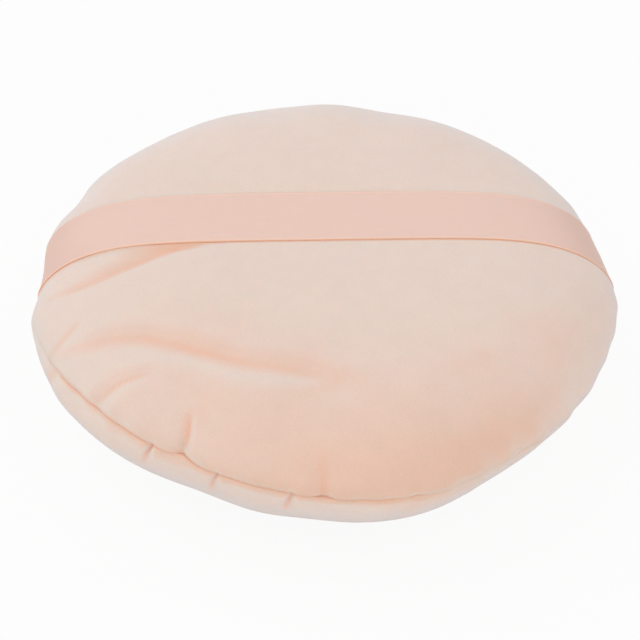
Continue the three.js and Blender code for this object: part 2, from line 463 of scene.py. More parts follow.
def smooth_line(points, per_step=14):
    """Points along a curve through the given ones, in metres."""
    knots = np.array(points) * mm
    knots = np.vstack([2 * knots[0] - knots[1], knots, 2 * knots[-1] - knots[-2]])
    share = np.linspace(0, 1, per_step, endpoint=False)[:, None]
    line = []
    for before, start, end, after in zip(knots, knots[1:], knots[2:], knots[3:]):
        line.append(0.5 * (
            2 * start + (end - before) * share
            + (2 * before - 5 * start + 4 * end - after) * share ** 2
            + (3 * start - before - 3 * end + after) * share ** 3
        ))
    return np.vstack(line + [knots[-2:-1]])


def fold_section(away, shoulders):
    """Depth of a fold at a distance from its line, in its own half widths, less the shoulders beside it."""
    height, place, width = shoulders
    return np.exp(-away ** 2) - height * np.exp(-((away - place) / width) ** 2)


def crease_depth(x, y):
    """Depth of the creases in the top at places in plan, and how much each place lies in a fold, its painted
    shade.
    """
    depth = np.zeros_like(x)
    fold_shade = np.zeros_like(x)
    rows = np.arange(len(x))
    for deep, far_wall, near_wall, points in creases:
        line = smooth_line(points)
        along = np.linspace(0, 1, len(line))
        gap_x = x[:, None] - line[None, :, 0]
        gap_y = y[:, None] - line[None, :, 1]
        nearest = np.argmin(gap_x ** 2 + gap_y ** 2, axis=1)
        gap_x = gap_x[rows, nearest]
        gap_y = gap_y[rows, nearest]
        tangent = np.gradient(line, axis=0)[nearest]
        side = np.sign(tangent[:, 0] * gap_y - tangent[:, 1] * gap_x)
        away = np.hypot(gap_x, gap_y) / (mm * np.where(side > 0, far_wall, near_wall))
        fade = np.sin(math.pi * np.clip(along[nearest], crease_end, 1 - crease_end)) ** crease_end_softness
        depth += mm * deep * fade * fold_section(away, crease_shoulders)
        shade_strength = crease_shade_strength * min(1, deep / crease_full_shade)
        fold_shade = np.maximum(fold_shade, shade_strength * fade * bell(away, crease_shade_width))
    return depth, fold_shade


def tuck_depth(turn, radius, from_seam, side):
    """Depth of the gathers at places given by angle, radius and distance from the seam, and their painted
    shade.
    """
    tucks, lean = (top_tucks, 0) if side > 0 else (low_tucks, low_tuck_lean)
    depth = np.zeros_like(turn)
    fold_shade = np.zeros_like(turn)
    for bearing, deep, half_width, length in tucks:
        along = from_seam / (mm * length)
        fade = np.clip(1 - along, 0, 1)
        aside = apart(turn, bearing) * radius + lean * from_seam
        away = np.abs(aside) / (mm * half_width * (1 + tuck_widening * along))
        depth += mm * deep * fade * fold_section(away, tuck_shoulders)
        shade_strength = min(1, deep / tuck_full_shade) * np.sqrt(fade)
        fold_shade = np.maximum(fold_shade, shade_strength * bell(away, tuck_shade_width))
    return depth, fold_shade


def uneven_wave(turn, count, drift):
    drift_size, drift_count, drift_start = drift
    return np.sin(count * turn + drift_size * np.sin(drift_count * turn + drift_start))


def gentle_swell(turn, from_seam):
    """Small unevenness of the filling under the cloth, and the fine scallops along the stitches."""
    scallops = uneven_wave(turn, scallop_count, scallop_drift) * np.exp(-from_seam / scallop_reach)
    swell_fade = bell(from_seam - swell_reach, swell_reach)
    swells = uneven_wave(turn, swell_count, swell_drift) * swell_fade
    return scallop_height * scallops + swell_height * swells


def under_ribbon(y):
    """1 under the ribbon, falling smoothly to 0 just outside its edges."""
    return ease((0.5 * ribbon_width + ribbon_edge - np.abs(y - ribbon_middle)) / ribbon_edge)


def patched_sheen(turn, from_seam, side):
    """How much paler (above 0) or deeper (below 0) the sheen is painted by angle and distance from the seam.
    """
    if side < 0:
        painted_sheen = low_sheen_elsewhere + (low_sheen - low_sheen_elsewhere) * plateau(turn, *low_sheen_stretch)
        return painted_sheen * bell(from_seam, low_sheen_reach)
    painted_sheen = seam_sheen_deepening * plateau(turn, *seam_deepening_stretch) * bell(from_seam, seam_deepening_reach)
    for much, bearing, half_width, distance, half_reach in sheen_patches:
        aside = apart(turn, bearing) / math.radians(half_width)
        painted_sheen += much * np.exp(-aside ** 2) * bell(from_seam - mm * distance, mm * half_reach)
    return painted_sheen


def painted_view_sheen(panel):
    """Painted sheen: how pale each point of a panel is made by how far it turns from the camera's direction.
    """
    normals = np.zeros(3 * len(panel.data.vertices), np.float32)
    panel.data.vertex_normals.foreach_get("vector", normals)
    sheen_view = from_polar(math.cos(sheen_view_rise), sheen_view_bearing, math.sin(sheen_view_rise))
    turned = 1 - np.clip(normals.reshape(-1, 3) @ sheen_view, 0, 1)
    return (1 - sheen_share) * ease((turned - deep_below_slant) / (pale_above_slant - deep_below_slant))


def panel_surface(ring, turn, side, inset=0.0, plain=False):
    """Places on the right side of a panel for rings from 0, its middle, to 1, its raw edge, with the painted
    shade of each, from its folds, the seam and the ribbon's front edge, and its distance from the seam."""
    edge = seam_arc(turn) - side * 0.5 * gap_at(turn)
    span = edge if side > 0 else section_arc[-1] - edge
    roll_width = top_roll if side > 0 else low_roll
    share = np.clip(ring / ring_at_roll, 0, 1)
    reach = (span - roll_width) * (share * (1 + ring_crowding) - ring_crowding * share * share)
    bend = 0.5 * math.pi * np.clip((ring - ring_at_roll) / (ring_at_fold - ring_at_roll), 0, 1)
    turned = seam_allowance * np.clip((ring - ring_at_fold) / (1 - ring_at_fold), 0, 1)
    from_middle = reach + roll_width * np.sin(bend)
    groove = groove_depth(turn)
    sunk = groove * np.sin(bend) ** 2
    arc = from_middle if side > 0 else section_arc[-1] - from_middle
    radius, level, across, up = on_form(arc, turn)
    fold_shade = np.zeros_like(turn)
    from_seam = span - from_middle
    if not plain:
        deep, fold_shade = tuck_depth(turn, radius, from_seam, side)
        on_seam = np.zeros_like(turn)
        top_at_seam = top_tucks_at_seam * tuck_depth(turn, radius, on_seam, 1)[0]
        low_at_seam = low_tucks_at_seam * tuck_depth(turn, radius, on_seam, -1)[0]
        drawn = deep * np.cos(bend) + (top_at_seam + low_at_seam) * (1 - np.cos(bend))
        relief = drawn - gentle_swell(turn, from_seam)
        if side > 0:
            y = radius * np.sin(turn)
            pressed, crease_shade = crease_depth(radius * np.cos(turn), y)
            swell_fade = bell(from_seam - front_swell_place, front_swell_width)
            swell = front_swell * hump(turn, *front_swell_stretch) * swell_fade
            relief = relief + pressed * np.cos(bend) - swell
            held = under_ribbon(y)
            bed = np.clip(relief, ribbon_bed, deepest_bed) * np.cos(bend)
            relief = bed * held + relief * (1 - held)
            before = ribbon_front - y
            behind = y - ribbon_front - ribbon_width
            bank = pile_bank * bell(before - bank_place, bank_width)
            bank = bank + pile_overlap * bell(behind, overlap_width)
            relief = relief - bank * np.cos(bend)
            fold_shade = np.maximum(fold_shade * (1 - held), crease_shade)
            # Painted shade along the ribbon's front edge.
            end_shade_width = edge_shade_width * (1 + end_widening * bell(from_seam, ribbon_end))
            fold_shade = np.maximum(fold_shade, edge_shade * bell(before, end_shade_width))
        else:
            relief = relief * np.clip(level / flat_at_rest, 0, 1)
        sunk = sunk + relief
        # Painted shade along the seam, the stronger the deeper the seam is drawn in.
        seam_shade_width = top_seam_shade_width if side > 0 else low_seam_shade_width
        drawn_in = np.minimum(groove / front_groove, 1) ** 2
        fold_shade = np.maximum(fold_shade, drawn_in * seam_shade * bell(from_seam, seam_shade_width))
        fold_shade = np.maximum(fold_shade, drawn_in * seam_core_shade * bell(from_seam, seam_core_width))
    radius = radius - across * (sunk + inset) - turned
    level = level - up * (sunk + inset)
    return from_polar(radius, turn, level), fold_shade, from_seam


def crowded_turn(turn, ring):
    """Angle moved so that the columns crowd together at the narrow gathers, away from the middle."""
    bearings = np.linspace(0, 2 * math.pi, bearing_steps)
    density = np.ones_like(bearings)
    for bearing, _deep, half_width, _length in top_tucks + low_tucks:
        if half_width <= narrow_tuck:
            away = apart(bearings, bearing) / math.radians(crowding_width)
            density += tuck_crowding * np.exp(-away ** 2)
    total = np.concatenate([[0], np.cumsum(0.5 * (density[1:] + density[:-1]))])
    moved = np.interp(turn, total / total[-1] * 2 * math.pi, bearings)
    share = np.clip((ring / grid_reach - crowding_from) / (1 - crowding_from), 0, 1)
    return turn + (moved - turn) * share


def grid_faces(rows, columns):
    """Faces of a sheet of points laid in rows."""
    return [
        (i * columns + j, (i + 1) * columns + j, (i + 1) * columns + j + 1, i * columns + j + 1)
        for i in range(rows - 1)
        for j in range(columns - 1)
    ]


def band_faces(inner, outer):
    """Faces between two loops of points."""
    return [(inner[i - 1], outer[i - 1], outer[i], inner[i]) for i in range(len(inner))]


def disc_grid(side, rings_round):
    """Ring and angle of the points of a disc without a pole, its faces and its rim: a square grid drawn round
    in the middle, with plain rings round it."""
    steps = np.linspace(-1, 1, side + 1)
    a, b = np.meshgrid(steps, steps, indexing="ij")
    a, b = a.ravel(), b.ravel()
    wide = np.abs(a) > np.abs(b)
    ring = np.maximum(np.abs(a), np.abs(b))
    safe_a = np.where(a == 0, 1, a)
    safe_b = np.where(b == 0, 1, b)
    turn = np.where(
        wide,
        0.25 * math.pi * b / safe_a + np.where(a < 0, math.pi, 0),
        0.5 * math.pi - 0.25 * math.pi * a / safe_b + np.where(b < 0, math.pi, 0),
    )
    turn = np.where(ring == 0, 0, turn) % (2 * math.pi)
    faces = grid_faces(side + 1, side + 1)
    loop = np.flatnonzero(ring == 1)
    loop = loop[np.argsort(turn[loop])].tolist()
    columns = len(loop)
    rings, turns = [ring * grid_reach], [turn]
    for k in range(1, rings_round + 1):
        rings.append(np.full(columns, grid_reach + (1 - grid_reach) * k / rings_round))
        turns.append(2 * math.pi * np.arange(columns) / columns)
        outer = [len(ring) + (k - 1) * columns + i for i in range(columns)]
        faces += band_faces(loop, outer)
        loop = outer
    rings, turns = np.concatenate(rings), np.concatenate(turns)
    return rings, crowded_turn(turns, rings), faces, loop


disc_ring, disc_turn, disc_faces, _rim = disc_grid(grid_side, outer_rings)


def new_mesh(name, places, edges, faces):
    mesh = bpy.data.meshes.new(name)
    mesh.from_pydata([tuple(p) for p in places], edges, faces)
    return mesh


def add_piece(name, places, faces, material):
    mesh = new_mesh(name, places, [], faces)
    mesh.polygons.foreach_set("use_smooth", [True] * len(mesh.polygons))
    mesh.materials.append(material)
    mesh.update()
    return add_object(name, mesh)


def set_attribute(piece, name, values):
    attribute = piece.data.attributes.new(name, "FLOAT", "POINT")
    attribute.data.foreach_set("value", np.asarray(values, np.float32))


def apply_modifiers(piece):
    shaped = bpy.data.meshes.new_from_object(piece.evaluated_get(bpy.context.evaluated_depsgraph_get()))
    piece.modifiers.clear()
    piece.data = shaped


def weigh_points(piece, name, shares):
    group = piece.vertex_groups.new(name=name)
    for share in np.unique(shares):
        group.add(np.flatnonzero(shares == share).tolist(), float(share), "REPLACE")
    return group.name


def thicken(piece, thickness, shares):
    """Gives a sheet its thickness on the wrong side, a share of it at each point."""
    wall = piece.modifiers.new("wall", "SOLIDIFY")
    wall.thickness = thickness
    wall.offset = -1
    wall.use_quality_normals = True
    wall.vertex_group = weigh_points(piece, "thickness", shares)
    apply_modifiers(piece)
    piece.vertex_groups.clear()


def linear(red, green, blue):
    """A colour given as it shows on a screen, 0 to 255, as the shader takes it."""
    shade_strength = np.array((red, green, blue)) / 255
    light = np.where(shade_strength <= 0.04045, shade_strength / 12.92, ((shade_strength + 0.055) / 1.055) ** 2.4)
    return (*light.tolist(), 1)


def add_noise(tree, coordinates, scale, detail):
    return add_node(tree, "ShaderNodeTexNoise", {"Vector": coordinates, "Scale": scale, "Detail": detail})


def map_range(tree, value, low, high, to_low, to_high, smooth=False):
    return add_node(tree, "ShaderNodeMapRange", {
        "Value": value, "From Min": low, "From Max": high, "To Min": to_low, "To Max": to_high,
    }, interpolation_type="SMOOTHSTEP" if smooth else "LINEAR")


# "Factor", "A" and "B" name several sockets of a Mix node, so its colour sockets are picked by place.
def blend_colours(tree, factor, first, second):
    return add_node(tree, "ShaderNodeMix", {0: factor, 6: first, 7: second}, data_type="RGBA").outputs[2]


fleck_detail, fleck_range = 3, (0.25, 0.75)


def add_sockets(tree, way, kind, *names):
    """Gives a node group inputs or outputs of one kind, and returns their identifiers by name."""
    sockets = tree.interface
    return {name: sockets.new_socket(name, in_out=way, socket_type=kind).identifier for name in names}


def fleck_group():
    """Fine unevenness of fibres: a colour made lighter and darker in flecks, and their height."""
    group = bpy.data.node_groups.new("fibre_flecks", "ShaderNodeTree")
    add_sockets(group, "INPUT", "NodeSocketVector", "Coordinates")
    add_sockets(group, "INPUT", "NodeSocketColor", "Colour")
    add_sockets(group, "INPUT", "NodeSocketFloat", "Flecks per Metre", "Darkest", "Lightest")
    add_sockets(group, "OUTPUT", "NodeSocketColor", "Colour")
    add_sockets(group, "OUTPUT", "NodeSocketFloat", "Height")
    given = add_node(group, "NodeGroupInput").outputs
    height = add_noise(group, given["Coordinates"], given["Flecks per Metre"], fleck_detail)
    tone = map_range(group, height, *fleck_range, given["Darkest"], given["Lightest"])
    tinted = {"Vector": given["Colour"], "Scale": tone}
    shade = add_node(group, "ShaderNodeVectorMath", tinted, operation="SCALE")
    add_node(group, "NodeGroupOutput", {"Colour": shade, "Height": height})
    return group


fibre_flecks = fleck_group()


def add_flecks(tree, coordinates, colour, size, depth):
    """Flecks of about the given size, lighter and darker by a share of the colour."""
    flecks = add_node(tree, "ShaderNodeGroup", {
        "Coordinates": coordinates, "Colour": colour, "Flecks per Metre": 1 / size,
        "Darkest": 1 - depth, "Lightest": 1 + depth,
    }, node_tree=fibre_flecks).outputs
    return flecks["Colour"], flecks["Height"]


def bump(tree, height, strength, distance):
    return add_node(tree, "ShaderNodeBump", {"Height": height, "Strength": strength, "Distance": distance})


def read_attribute(tree, name):
    return add_node(tree, "ShaderNodeAttribute", attribute_name=name).outputs["Fac"]


def object_place(tree):
    return add_node(tree, "ShaderNodeTexCoord").outputs["Object"]


even_slant = 0.5


def slant_to_eye(tree):
    """0 for a surface that is looked at straight on, 1 at its outline, for sheen."""
    return add_node(tree, "ShaderNodeLayerWeight", {"Blend": even_slant}).outputs["Facing"]


# Looked at straight on the pile shows its deep colour, and aslant its pale tips: a sheen painted into its
# colour.
pile_deep = linear(234, 197, 177)
pile_pale = linear(233, 213, 202)
pile_rim_sheen = linear(230, 217, 212)
# Painted shade, deeper and warmer, for the folds, the seam and the ribbon's front edge.
pile_fold_shade = linear(239, 184, 156)
pile_fibre, pile_fibre_depth = 0.25 * mm, 0.035
pile_patch, pile_patch_depth = 3.5 * mm, 0.012
pile_brushing, pile_brushing_depth = 14 * mm, 0.012
pile_bump, pile_bump_strength = 0.12 * mm, 0.25
rim_from, rim_full = 0.5, 0.9
fold_shade_from, fold_shade_full, fold_shade_share = 0.1, 1.0, 0.8
cloth_glow = (1.0, 0.5, 0.35)


def velour_material():
    material, tree, shader = start_material("velour")
    place = object_place(tree)
    slant = slant_to_eye(tree)
    # Sheen painted into the colour: paler the more aslant the eye sees the cloth, with the painted sheen kept
    # on the points added.
    sheen = map_range(tree, slant, deep_below_slant, pale_above_slant, 0, sheen_share, smooth=True)
    bloom = reckon(tree, "ADD", sheen, read_attribute(tree, "painted_sheen"), clamp=True)
    colour = blend_colours(tree, bloom, pile_deep, pile_pale)
    # Painted sheen, paler still, towards the outline.
    rim_sheen = map_range(tree, slant, rim_from, rim_full, 0, 1, smooth=True)
    colour = blend_colours(tree, rim_sheen, colour, pile_rim_sheen)
    # Painted shade in the folds, along the seam and by the ribbon's front edge.
    fold_shade_mix = map_range(tree, read_attribute(tree, "fold_shade"), fold_shade_from, fold_shade_full, 0, fold_shade_share)
    colour = blend_colours(tree, fold_shade_mix, colour, pile_fold_shade)
    colour, _height = add_flecks(tree, place, colour, pile_brushing, pile_brushing_depth)
    colour, _height = add_flecks(tree, place, colour, pile_patch, pile_patch_depth)
    colour, fibre = add_flecks(tree, place, colour, pile_fibre, pile_fibre_depth)
    fill_inputs(tree, shader, {
        "Base Color": colour,
        "Roughness": 1.0,
        "Specular IOR Level": 0.1,
        "Sheen Weight": 0.12,
        "Sheen Roughness": 0.4,
        "Sheen Tint": (1, 0.97, 0.95, 1),
        "Subsurface Weight": 0.35,
        "Subsurface Radius": cloth_glow,
        "Subsurface Scale": 1.2 * mm,
        "Normal": bump(tree, fibre, pile_bump_strength, pile_bump),
    })
    return material


velour = velour_material()


# Sewn at its rim and pressed by the filling, the cloth settles: it swells a little between the places that
# hold it. It is worked at ten times its size, for which the solver is made, its small ripples are evened out
# as the pile hides them, and no point moves further than the limit.
settle_frames, settle_quality = 20, 4
settle_pressure = 6.0
settle_stiffness = 20
settle_limit = 0.3 * mm
settle_evening = 30
settle_scale = 10
held_from_seam = 5 * mm
held_from_rest = 0.6 * mm


def settle(places, faces, hold):
    """Places of a panel after it has settled, with how firmly each point is held from 0 to 1."""
    cloth = add_object("settling", new_mesh("settling", places * settle_scale, [], faces))
    sewn = weigh_points(cloth, "sewn", np.round(hold, 1))
    solver = cloth.modifiers.new("settling", "CLOTH")
    solver.settings.quality = settle_quality
    solver.settings.bending_stiffness = settle_stiffness
    solver.settings.vertex_group_mass = sewn
    solver.settings.use_pressure = True
    solver.settings.uniform_pressure_force = settle_pressure
    solver.settings.effector_weights.gravity = 0
    solver.point_cache.frame_end = settle_frames
    for step in range(1, settle_frames + 1):
        bpy.context.scene.frame_set(step)
    shaped = cloth.evaluated_get(bpy.context.evaluated_depsgraph_get()).data
    settled = np.zeros(3 * len(places), np.float32)
    shaped.vertices.foreach_get("co", settled)
    moved = settled.reshape(-1, 3) / settle_scale - places
    bpy.context.scene.frame_set(1)
    bpy.data.objects.remove(cloth)
    sides = np.array([pair for face in faces for pair in zip(face, face[1:] + face[:1])])
    ends = np.concatenate([sides, sides[:, ::-1]])
    neighbours = np.bincount(ends[:, 0])[:, None]
    for _ in range(settle_evening):
        beside = np.zeros_like(moved)
        np.add.at(beside, ends[:, 0], moved[ends[:, 1]])
        moved = 0.5 * (moved + beside / neighbours)
    moved = moved * (1 - hold)[:, None]
    distance = np.maximum(np.linalg.norm(moved, axis=1, keepdims=True), 1e-9)
    return places + moved / distance * settle_limit * np.tanh(distance / settle_limit)


def velour_panel(name, side):
    places, fold_shade, from_seam = panel_surface(disc_ring, disc_turn, side)
    faces = disc_faces if side > 0 else [face[::-1] for face in disc_faces]
    sewn = bell(from_seam, held_from_seam)
    on_table = bell(places[:, 2], held_from_rest)
    pressed = under_ribbon(places[:, 1]) if side > 0 else on_table
    places = settle(places, faces, np.maximum.reduce([sewn, pressed, fold_shade]))
    panel = add_piece(name, places, faces, velour)
    # The painted shade of the folds and the painted sheen are kept on the points.
    set_attribute(panel, "fold_shade", fold_shade)
    set_attribute(panel, "painted_sheen", painted_view_sheen(panel) + patched_sheen(disc_turn, from_seam, side))
    rolled = (disc_ring > ring_at_roll - ring_tolerance) & (disc_ring < ring_at_fold + ring_tolerance)
    thicken(panel, cloth_thickness, np.where(rolled, fold_thickness_share, 1.0))
    return panel


top_panel = velour_panel("velour_top", 1)
bottom_panel = velour_panel("velour_bottom", -1)
for panel, node in ((top_panel, "top_panel"), (bottom_panel, "bottom_panel")):
    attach(panel, "pad")
    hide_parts(node)

# Filling
# Loose polyester fibre, teased out and pushed in through the gap in the seam until the cover is plump. It
# takes the cover's shape, and the raw edges of the seam press a slot into it all round.
filling_clearance = 0.3 * mm
filling_lumps = 0.35 * mm
lump_size_x, lump_size_y = 2.3 * mm, 2.9 * mm
lump_drift_x, lump_drift_y = (1.3, 4.3 * mm), (1.7, 5.1 * mm)
slot_half_height = 2.6 * mm
slot_depth = 0.4 * mm
filling_side = 64
filling_rings = 22
fibre_white = linear(246, 243, 238)
fibre_shade = linear(234, 229, 222)
fibre_clump, fibre_clump_detail, fibre_clump_range = 6 * mm, 3, (0.3, 0.7)
fibre_strand, fibre_strand_depth = 0.4 * mm, 0.06
fibre_bump, fibre_bump_strength = 0.3 * mm, 0.5
strand_stretch = (0.25, 1, 1)
strand_turn = (0.3, 0.2, 0.7)


def fibre_material():
    material, tree, shader = start_material("fibre_fill")
    place = object_place(tree)
    strand_place = add_node(tree, "ShaderNodeMapping", {
        "Vector": place, "Scale": strand_stretch, "Rotation": strand_turn})
    noise = add_noise(tree, place, 1 / fibre_clump, fibre_clump_detail)
    clump = map_range(tree, noise, *fibre_clump_range, 0, 1)
    colour = blend_colours(tree, clump, fibre_shade, fibre_white)
    colour, strands = add_flecks(tree, strand_place, colour, fibre_strand, fibre_strand_depth)
    normal = bump(tree, strands, fibre_bump_strength, fibre_bump)
    fill_inputs(tree, shader, {"Base Color": colour, "Roughness": 1.0, "Normal": normal})
    return material


def filling_lobe(ring, turn, side):
    """Places on the filling under one panel, out to the mouth of the slot."""
    inset = cloth_thickness + filling_clearance
    places, _fold, _from_seam = panel_surface(ring * ring_at_roll, turn, side, inset)
    x, y, z = places.T
    drift_x = lump_drift_x[0] * np.sin(x / lump_drift_x[1])
    drift_y = lump_drift_y[0] * np.sin(y / lump_drift_y[1])
    lumps = np.sin(x / lump_size_x + drift_y) * np.sin(y / lump_size_y + drift_x)
    sunk = 0.5 * filling_lumps * (1 + lumps)
    return np.stack([x, y, z - side * sunk], axis=-1)


def filling_mesh():
    ring, turn, faces, loop = disc_grid(filling_side, filling_rings)
    count = len(ring)
    slot_turn = turn[loop]
    slot_radius = plan_radius(slot_turn) - groove_depth(slot_turn) - seam_allowance - slot_depth
    places, all_faces, slot_loops = [], [], []
    for side in (1, -1):
        start = sum(len(group) for group in places)
        places.append(filling_lobe(ring, turn, side))
        level = seam_level(slot_turn) + side * slot_half_height
        places.append(from_polar(slot_radius, slot_turn, level))
        rim_sheen = [start + i for i in loop]
        slot = [start + count + i for i in range(len(loop))]
        lobe_faces = [tuple(start + i for i in face) for face in faces]
        lobe_faces += band_faces(rim_sheen, slot)
        all_faces += lobe_faces if side > 0 else [face[::-1] for face in lobe_faces]
        slot_loops.append(slot)
    return np.concatenate(places), all_faces + band_faces(*slot_loops)


filling_places, filling_faces = filling_mesh()
filling = add_piece("fibre_filling", filling_places, filling_faces, fibre_material())
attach(filling, "pad")
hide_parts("filling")

# Ribbon
# A length of woven satin ribbon with firm selvedges lies across the top. Its ends are caught in the seam at
# both sides, so it is stretched lightly over the crown and can be lifted only in its middle; here it lies
# flat.
ribbon_thickness = 0.18 * mm
ribbon_clearance = -0.02 * mm
selvedge_width = 0.55 * mm
selvedge_bead, bead_place, bead_width = 0.05 * mm, 0.5, 0.4
selvedge_dip, dip_width = 0.14 * mm, 0.2 * mm
ribbon_rows, selvedge_rows, ribbon_steps = 26, 6, 260
line_samples, line_rounds = 1400, 6


def ribbon_line(y, side):
    """Places in the plane of one thread of the ribbon, from the middle of the puff to the raw edge."""
    ring_samples = np.linspace(0, 1, line_samples)
    turn = np.full_like(ring_samples, 0.0 if side > 0 else math.pi)
    for _ in range(line_rounds):
        places, _fold, _from_seam = panel_surface(ring_samples, turn, 1, plain=True)
        radius = np.hypot(places[:, 0], places[:, 1])
        tilt = np.arcsin(np.clip(y / np.maximum(radius, abs(y) + 1e-9), -1, 1))
        turn = tilt if side > 0 else math.pi - tilt
    reached = radius > abs(y) + 1e-4
    x, z = np.abs(places[reached, 0]), places[reached, 2]
    return np.append(0.0, x), np.append(z[0], z)


def offset_line(x, z, distance):
    """The line pushed out from the pad."""
    dx, dz = np.gradient(x), np.gradient(z)
    size = np.hypot(dx, dz)
    return x - dz / size * distance, z + dx / size * distance


def even_line(x, z, steps):
    arc = np.concatenate([[0], np.cumsum(np.hypot(np.diff(x), np.diff(z)))])
    wanted = np.linspace(0, arc[-1], steps)
    return np.interp(wanted, arc, x), np.interp(wanted, arc, z), arc[-1]


def ribbon_mesh():
    """Places of the ribbon's right side by row and step, with each one's distance along and across."""
    near = np.linspace(0, selvedge_width, selvedge_rows + 1)
    middle = np.linspace(selvedge_width, ribbon_width - selvedge_width, ribbon_rows + 1)
    across = np.concatenate([near[:-1], middle, (ribbon_width - near[:-1])[::-1]])
    half = ribbon_steps // 2
    threads = []
    for distance in across:
        y = ribbon_front + distance
        from_edge = min(distance, ribbon_width - distance)
        bead = selvedge_bead * math.exp(-((from_edge / selvedge_width - bead_place) / bead_width) ** 2)
        dip = selvedge_dip * math.exp(-(from_edge / dip_width) ** 2)
        halves = []
        for side in (-1, 1):
            x, z = ribbon_line(y, side)
            x, z = offset_line(x, z, ribbon_clearance + ribbon_thickness + bead - dip)
            x[0] = 0.0
            x, z, length = even_line(x, z, half + 1)
            run = np.linspace(0, side * length, half + 1)
            halves.append(np.stack([side * x, np.full_like(x, y), z, run], axis=-1))
        left, right = halves
        threads.append(np.concatenate([left[::-1], right[1:]]))
    places, along = np.split(np.array(threads), [3], axis=-1)
    along = along[..., 0]
    return places, along, across, float(np.mean(along[:, -1] - along[:, 0]))


ribbon_places, ribbon_along, ribbon_across, ribbon_length = ribbon_mesh()
rows, steps = ribbon_places.shape[:2]
ribbon_faces = [(a, d, c, b) for a, b, c, d in grid_faces(rows, steps)]

satin_colour = linear(240, 204, 191)
satin_selvedge = linear(248, 209, 190)
# Painted shade for the ribbon's front edge.
satin_edge_shade = linear(238, 178, 146)
# Painted shade for the ribbon seen aslant.
satin_aslant_shade = linear(222, 184, 170)
satin_shade_width = 0.22 * mm
selvedge_softness, selvedge_share = 0.15 * mm, 0.6
aslant_from, aslant_full, aslant_shade_share = 0.36, 0.75, 0.6
warp_streak, warp_depth, warp_stretch = 0.12 * mm, 0.03, (0.03, 1, 1)
weft_pitch = 0.3 * mm
weave_bump, weave_bump_strength = 0.03 * mm, 0.15

# A Wave texture of scale 1 repeats every 2 pi / 20.
wave_length = 2 * math.pi / 20


def satin_material():
    material, tree, shader = start_material("satin_ribbon")
    weave = add_node(tree, "ShaderNodeUVMap", uv_map="weave")
    across = add_node(tree, "ShaderNodeSeparateXYZ", {"Vector": weave}).outputs["Y"]
    from_middle = add_node(tree, "ShaderNodeMath", {0: across}, operation="ABSOLUTE")
    edge_place = 0.5 * ribbon_width - selvedge_width
    edge_start = edge_place - selvedge_softness
    edge_mask = map_range(tree, from_middle, edge_start, edge_place, 0, selvedge_share, smooth=True)
    colour = blend_colours(tree, edge_mask, satin_colour, satin_selvedge)
    # Painted shade: seen aslant, as towards its ends, the ribbon is made deeper.
    aslant_shade = map_range(tree, slant_to_eye(tree), aslant_from, aslant_full, 0, aslant_shade_share, smooth=True)
    colour = blend_colours(tree, aslant_shade, colour, satin_aslant_shade)
    # Painted shade along the ribbon's front edge only.
    satin_shade_place = 0.5 * ribbon_width - satin_shade_width
    satin_shade_end = satin_shade_place + 0.5 * satin_shade_width
    satin_shade_mask = map_range(tree, across, -satin_shade_end, -satin_shade_place, 1, 0, smooth=True)
    colour = blend_colours(tree, satin_shade_mask, colour, satin_edge_shade)
    warp_map = add_node(tree, "ShaderNodeMapping", {"Vector": weave, "Scale": warp_stretch})
    colour, warp = add_flecks(tree, warp_map, colour, warp_streak, warp_depth)
    weft_scale = wave_length / weft_pitch
    weft = add_node(tree, "ShaderNodeTexWave", {"Vector": weave, "Scale": weft_scale}, wave_profile="SIN")
    threads = reckon(tree, "ADD", warp, weft.outputs["Fac"])
    fill_inputs(tree, shader, {
        "Base Color": colour,
        "Roughness": 0.42,
        "Specular IOR Level": 0.08,
        "Subsurface Weight": 0.2,
        "Subsurface Radius": cloth_glow,
        "Subsurface Scale": 0.6 * mm,
        "Normal": bump(tree, threads, weave_bump_strength, weave_bump),
    })
    return material


satin = satin_material()
ribbon = add_piece("satin_strap", ribbon_places.reshape(-1, 3), ribbon_faces, satin)
weave_map = ribbon.data.uv_layers.new(name="weave")
corner_points = np.zeros(len(ribbon.data.loops), np.int32)
ribbon.data.loops.foreach_get("vertex_index", corner_points)
weave_across = np.repeat(ribbon_across[:, None], steps, axis=1) - 0.5 * ribbon_width
weave_places = np.stack([ribbon_along, weave_across], axis=-1)
weave_map.data.foreach_set("uv", weave_places.reshape(-1, 2)[corner_points].astype(np.float32).ravel())
thicken(ribbon, ribbon_thickness, np.ones(rows * steps))
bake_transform(ribbon)
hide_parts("ribbon")

# Machine seam
# Two threads, needle and bobbin, sew the raw edges together all round except a gap at the back for turning
# and filling. They lie on the wrong sides of the cloth, inside the puff.
thread_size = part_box("needle_thread")[1].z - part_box("needle_thread")[0].z
stitch_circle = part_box("needle_thread")[1].x - 0.5 * thread_size
stitch_pitch, seam_steps = 2.2 * mm, 720
stitch_length = 0.95 * stitch_pitch
turning_gap = 40 * mm
thread_colour = linear(232, 198, 180)
thread_fibre, thread_fibre_depth = 0.09 * mm, 0.10
thread_lay, thread_lay_detail, thread_lay_range, thread_lay_share = 0.6 * mm, 2, (0.3, 0.7), 0.5
thread_bump, thread_bump_strength = 0.05 * mm, 0.4
thread_facets, arch_steps, arch_handle = 6, 6, 0.42
back_bearing = 0.5 * math.pi


def thread_material():
    material, tree, shader = start_material("thread")
    place = object_place(tree)
    noise = add_noise(tree, place, 1 / thread_lay, thread_lay_detail)
    lay = map_range(tree, noise, *thread_lay_range, 0, thread_lay_share)
    colour = blend_colours(tree, lay, thread_colour, satin_selvedge)
    colour, fibres = add_flecks(tree, place, colour, thread_fibre, thread_fibre_depth)
    normal = bump(tree, fibres, thread_bump_strength, thread_bump)
    finish = {"Base Color": colour, "Roughness": 0.65, "Sheen Weight": 0.2, "Normal": normal}
    fill_inputs(tree, shader, finish)
    return material


thread = thread_material()


